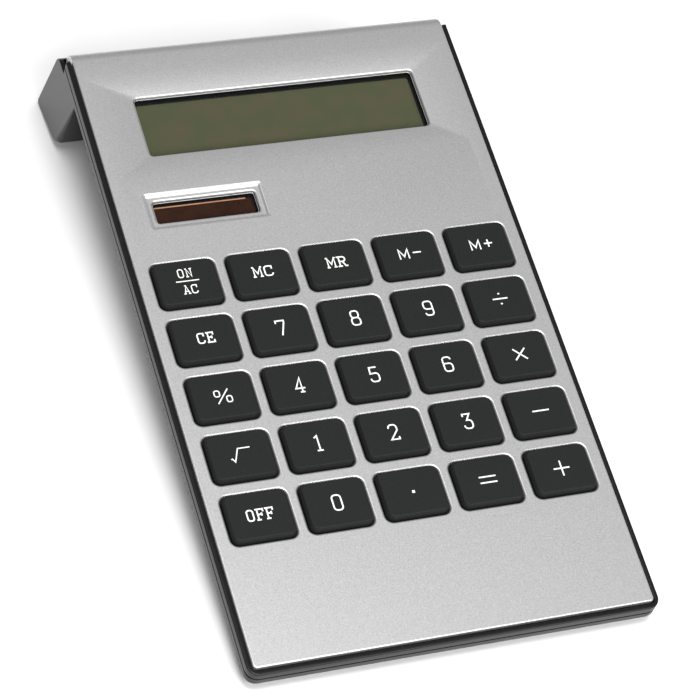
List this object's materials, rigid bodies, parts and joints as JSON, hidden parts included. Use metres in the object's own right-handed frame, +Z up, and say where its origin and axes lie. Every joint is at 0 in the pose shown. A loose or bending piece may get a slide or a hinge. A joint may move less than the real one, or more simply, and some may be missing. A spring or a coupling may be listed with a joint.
{
  "type": "desk calculator",
  "caption": "Slim tilted desk calculator: silver face plate with charcoal keys, display and solar window in a black case whose rear end turns down into a full-width block foot.",
  "frame": {"origin": "bottom centre of the calculator on the desk surface", "axes": "+X to the user's right across the keys, +Y away from the user towards the display, +Z up from the desk"},
  "size_m": [0.1044, 0.1906, 0.0319],
  "materials": {
    "silver_paint": "moulded ABS with fine metallic silver paint, satin",
    "black_abs": "moulded black ABS, fine texture",
    "key_plastic": "moulded charcoal ABS with white printed legends, matte",
    "clear_acrylic": "clear polished acrylic",
    "lcd_glass": "liquid crystal panel with grey-green polariser, unlit",
    "solar_film": "amorphous silicon solar cell on glass, dark brown",
    "board_laminate": "green solder mask on laminate",
    "chip_epoxy": "black potting epoxy",
    "grey_silicone": "moulded silicone rubber",
    "foot_rubber": "moulded black rubber",
    "steel": "bright plated steel",
    "nickel_strip": "nickel-plated spring strip",
    "red_insulation": "red PVC insulation",
    "black_insulation": "black PVC insulation"
  },
  "bodies": {
    "case": {"face_plate": "silver_paint", "middle_frame": "black_abs", "bottom_case": "black_abs", "case_screw_front_left": "steel", "case_screw_front_right": "steel", "case_screw_rear_left": "steel", "case_screw_rear_right": "steel", "rubber_pad_front_left": "foot_rubber", "rubber_pad_front_right": "foot_rubber", "rubber_pad_rear_left": "foot_rubber", "rubber_pad_rear_right": "foot_rubber", "display_window": "clear_acrylic", "lcd_panel": "lcd_glass", "lcd_connector": "grey_silicone", "solar_window": "clear_acrylic", "solar_cell": "solar_film", "circuit_board": "board_laminate", "chip_blob": "chip_epoxy", "keypad_mat": "grey_silicone", "button_cell": "steel", "cell_contact_top": "nickel_strip", "cell_contact_side": "nickel_strip", "solar_lead_red": "red_insulation", "solar_lead_black": "black_insulation"},
    "door": {"battery_door": "black_abs"},
    "key_on_clear": {"key_on_clear": "key_plastic"},
    "key_memory_clear": {"key_memory_clear": "key_plastic"},
    "key_memory_recall": {"key_memory_recall": "key_plastic"},
    "key_memory_minus": {"key_memory_minus": "key_plastic"},
    "key_memory_plus": {"key_memory_plus": "key_plastic"},
    "key_clear_entry": {"key_clear_entry": "key_plastic"},
    "key_7": {"key_7": "key_plastic"},
    "key_8": {"key_8": "key_plastic"},
    "key_9": {"key_9": "key_plastic"},
    "key_divide": {"key_divide": "key_plastic"},
    "key_percent": {"key_percent": "key_plastic"},
    "key_4": {"key_4": "key_plastic"},
    "key_5": {"key_5": "key_plastic"},
    "key_6": {"key_6": "key_plastic"},
    "key_multiply": {"key_multiply": "key_plastic"},
    "key_square_root": {"key_square_root": "key_plastic"},
    "key_1": {"key_1": "key_plastic"},
    "key_2": {"key_2": "key_plastic"},
    "key_3": {"key_3": "key_plastic"},
    "key_minus": {"key_minus": "key_plastic"},
    "key_off": {"key_off": "key_plastic"},
    "key_0": {"key_0": "key_plastic"},
    "key_point": {"key_point": "key_plastic"},
    "key_equals": {"key_equals": "key_plastic"},
    "key_plus": {"key_plus": "key_plastic"}
  },
  "joints": [
    {"name": "key_on_clear_press", "type": "slide", "parent": "case", "child": "key_on_clear", "axis": [0, 0.134, -0.991], "range_m": [0, 0.0009], "stiffness_N_per_m": 600},
    {"name": "key_memory_clear_press", "type": "slide", "parent": "case", "child": "key_memory_clear", "axis": [0, 0.134, -0.991], "range_m": [0, 0.0009], "stiffness_N_per_m": 600},
    {"name": "key_memory_recall_press", "type": "slide", "parent": "case", "child": "key_memory_recall", "axis": [0, 0.134, -0.991], "range_m": [0, 0.0009], "stiffness_N_per_m": 600},
    {"name": "key_memory_minus_press", "type": "slide", "parent": "case", "child": "key_memory_minus", "axis": [0, 0.134, -0.991], "range_m": [0, 0.0009], "stiffness_N_per_m": 600},
    {"name": "key_memory_plus_press", "type": "slide", "parent": "case", "child": "key_memory_plus", "axis": [0, 0.134, -0.991], "range_m": [0, 0.0009], "stiffness_N_per_m": 600},
    {"name": "key_clear_entry_press", "type": "slide", "parent": "case", "child": "key_clear_entry", "axis": [0, 0.134, -0.991], "range_m": [0, 0.0009], "stiffness_N_per_m": 600},
    {"name": "key_7_press", "type": "slide", "parent": "case", "child": "key_7", "axis": [0, 0.134, -0.991], "range_m": [0, 0.0009], "stiffness_N_per_m": 600},
    {"name": "key_8_press", "type": "slide", "parent": "case", "child": "key_8", "axis": [0, 0.134, -0.991], "range_m": [0, 0.0009], "stiffness_N_per_m": 600},
    {"name": "key_9_press", "type": "slide", "parent": "case", "child": "key_9", "axis": [0, 0.134, -0.991], "range_m": [0, 0.0009], "stiffness_N_per_m": 600},
    {"name": "key_divide_press", "type": "slide", "parent": "case", "child": "key_divide", "axis": [0, 0.134, -0.991], "range_m": [0, 0.0009], "stiffness_N_per_m": 600},
    {"name": "key_percent_press", "type": "slide", "parent": "case", "child": "key_percent", "axis": [0, 0.134, -0.991], "range_m": [0, 0.0009], "stiffness_N_per_m": 600},
    {"name": "key_4_press", "type": "slide", "parent": "case", "child": "key_4", "axis": [0, 0.134, -0.991], "range_m": [0, 0.0009], "stiffness_N_per_m": 600},
    {"name": "key_5_press", "type": "slide", "parent": "case", "child": "key_5", "axis": [0, 0.134, -0.991], "range_m": [0, 0.0009], "stiffness_N_per_m": 600},
    {"name": "key_6_press", "type": "slide", "parent": "case", "child": "key_6", "axis": [0, 0.134, -0.991], "range_m": [0, 0.0009], "stiffness_N_per_m": 600},
    {"name": "key_multiply_press", "type": "slide", "parent": "case", "child": "key_multiply", "axis": [0, 0.134, -0.991], "range_m": [0, 0.0009], "stiffness_N_per_m": 600},
    {"name": "key_square_root_press", "type": "slide", "parent": "case", "child": "key_square_root", "axis": [0, 0.134, -0.991], "range_m": [0, 0.0009], "stiffness_N_per_m": 600},
    {"name": "key_1_press", "type": "slide", "parent": "case", "child": "key_1", "axis": [0, 0.134, -0.991], "range_m": [0, 0.0009], "stiffness_N_per_m": 600},
    {"name": "key_2_press", "type": "slide", "parent": "case", "child": "key_2", "axis": [0, 0.134, -0.991], "range_m": [0, 0.0009], "stiffness_N_per_m": 600},
    {"name": "key_3_press", "type": "slide", "parent": "case", "child": "key_3", "axis": [0, 0.134, -0.991], "range_m": [0, 0.0009], "stiffness_N_per_m": 600},
    {"name": "key_minus_press", "type": "slide", "parent": "case", "child": "key_minus", "axis": [0, 0.134, -0.991], "range_m": [0, 0.0009], "stiffness_N_per_m": 600},
    {"name": "key_off_press", "type": "slide", "parent": "case", "child": "key_off", "axis": [0, 0.134, -0.991], "range_m": [0, 0.0009], "stiffness_N_per_m": 600},
    {"name": "key_0_press", "type": "slide", "parent": "case", "child": "key_0", "axis": [0, 0.134, -0.991], "range_m": [0, 0.0009], "stiffness_N_per_m": 600},
    {"name": "key_point_press", "type": "slide", "parent": "case", "child": "key_point", "axis": [0, 0.134, -0.991], "range_m": [0, 0.0009], "stiffness_N_per_m": 600},
    {"name": "key_equals_press", "type": "slide", "parent": "case", "child": "key_equals", "axis": [0, 0.134, -0.991], "range_m": [0, 0.0009], "stiffness_N_per_m": 600},
    {"name": "key_plus_press", "type": "slide", "parent": "case", "child": "key_plus", "axis": [0, 0.134, -0.991], "range_m": [0, 0.0009], "stiffness_N_per_m": 600},
    {"name": "battery_door_release", "type": "slide", "parent": "case", "child": "door", "axis": [0, 0.134, -0.991], "range_m": [0, 0.006]}
  ]
}
